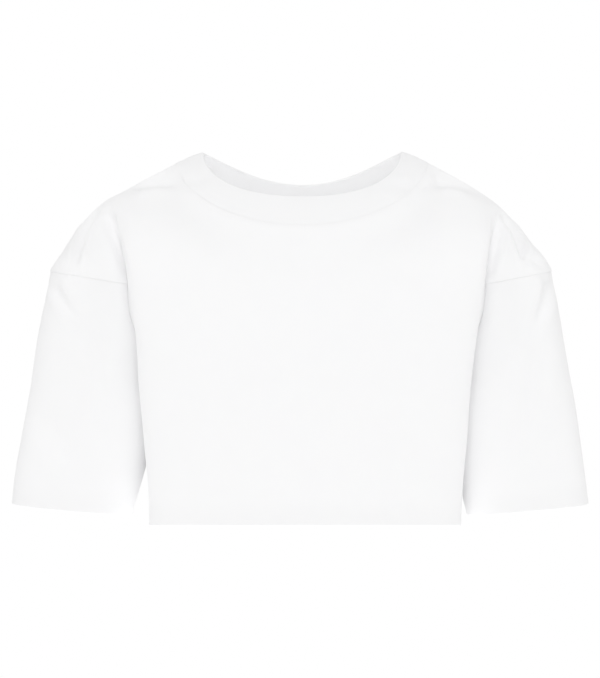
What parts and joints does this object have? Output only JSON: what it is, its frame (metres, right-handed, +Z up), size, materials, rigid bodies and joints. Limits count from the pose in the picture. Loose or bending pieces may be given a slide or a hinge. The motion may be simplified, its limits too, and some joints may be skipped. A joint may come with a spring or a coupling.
{
  "type": "cropped crew-neck t-shirt",
  "caption": "Boxy cropped crew-neck T-shirt with dropped shoulders, short wide sleeves and a wide doubled neckband, filled out as if worn, open at neck, hem and cuffs.",
  "frame": {"origin": "midway between the two ends of the neck opening, level with them, where the shirt hangs from the shoulders", "axes": "+Z up, -Y towards the front of the shirt, X along the shoulders"},
  "size_m": [0.598, 0.2153, 0.3874],
  "materials": {
    "jersey": "matt white cotton jersey, heavy, with a fine knit",
    "band": "matt white cotton jersey, doubled, with a fine rib"
  },
  "bodies": {
    "root": {"front": "jersey", "back": "jersey", "sleeve_left": "jersey", "sleeve_right": "jersey", "neckband": "band"}
  },
  "joints": []
}
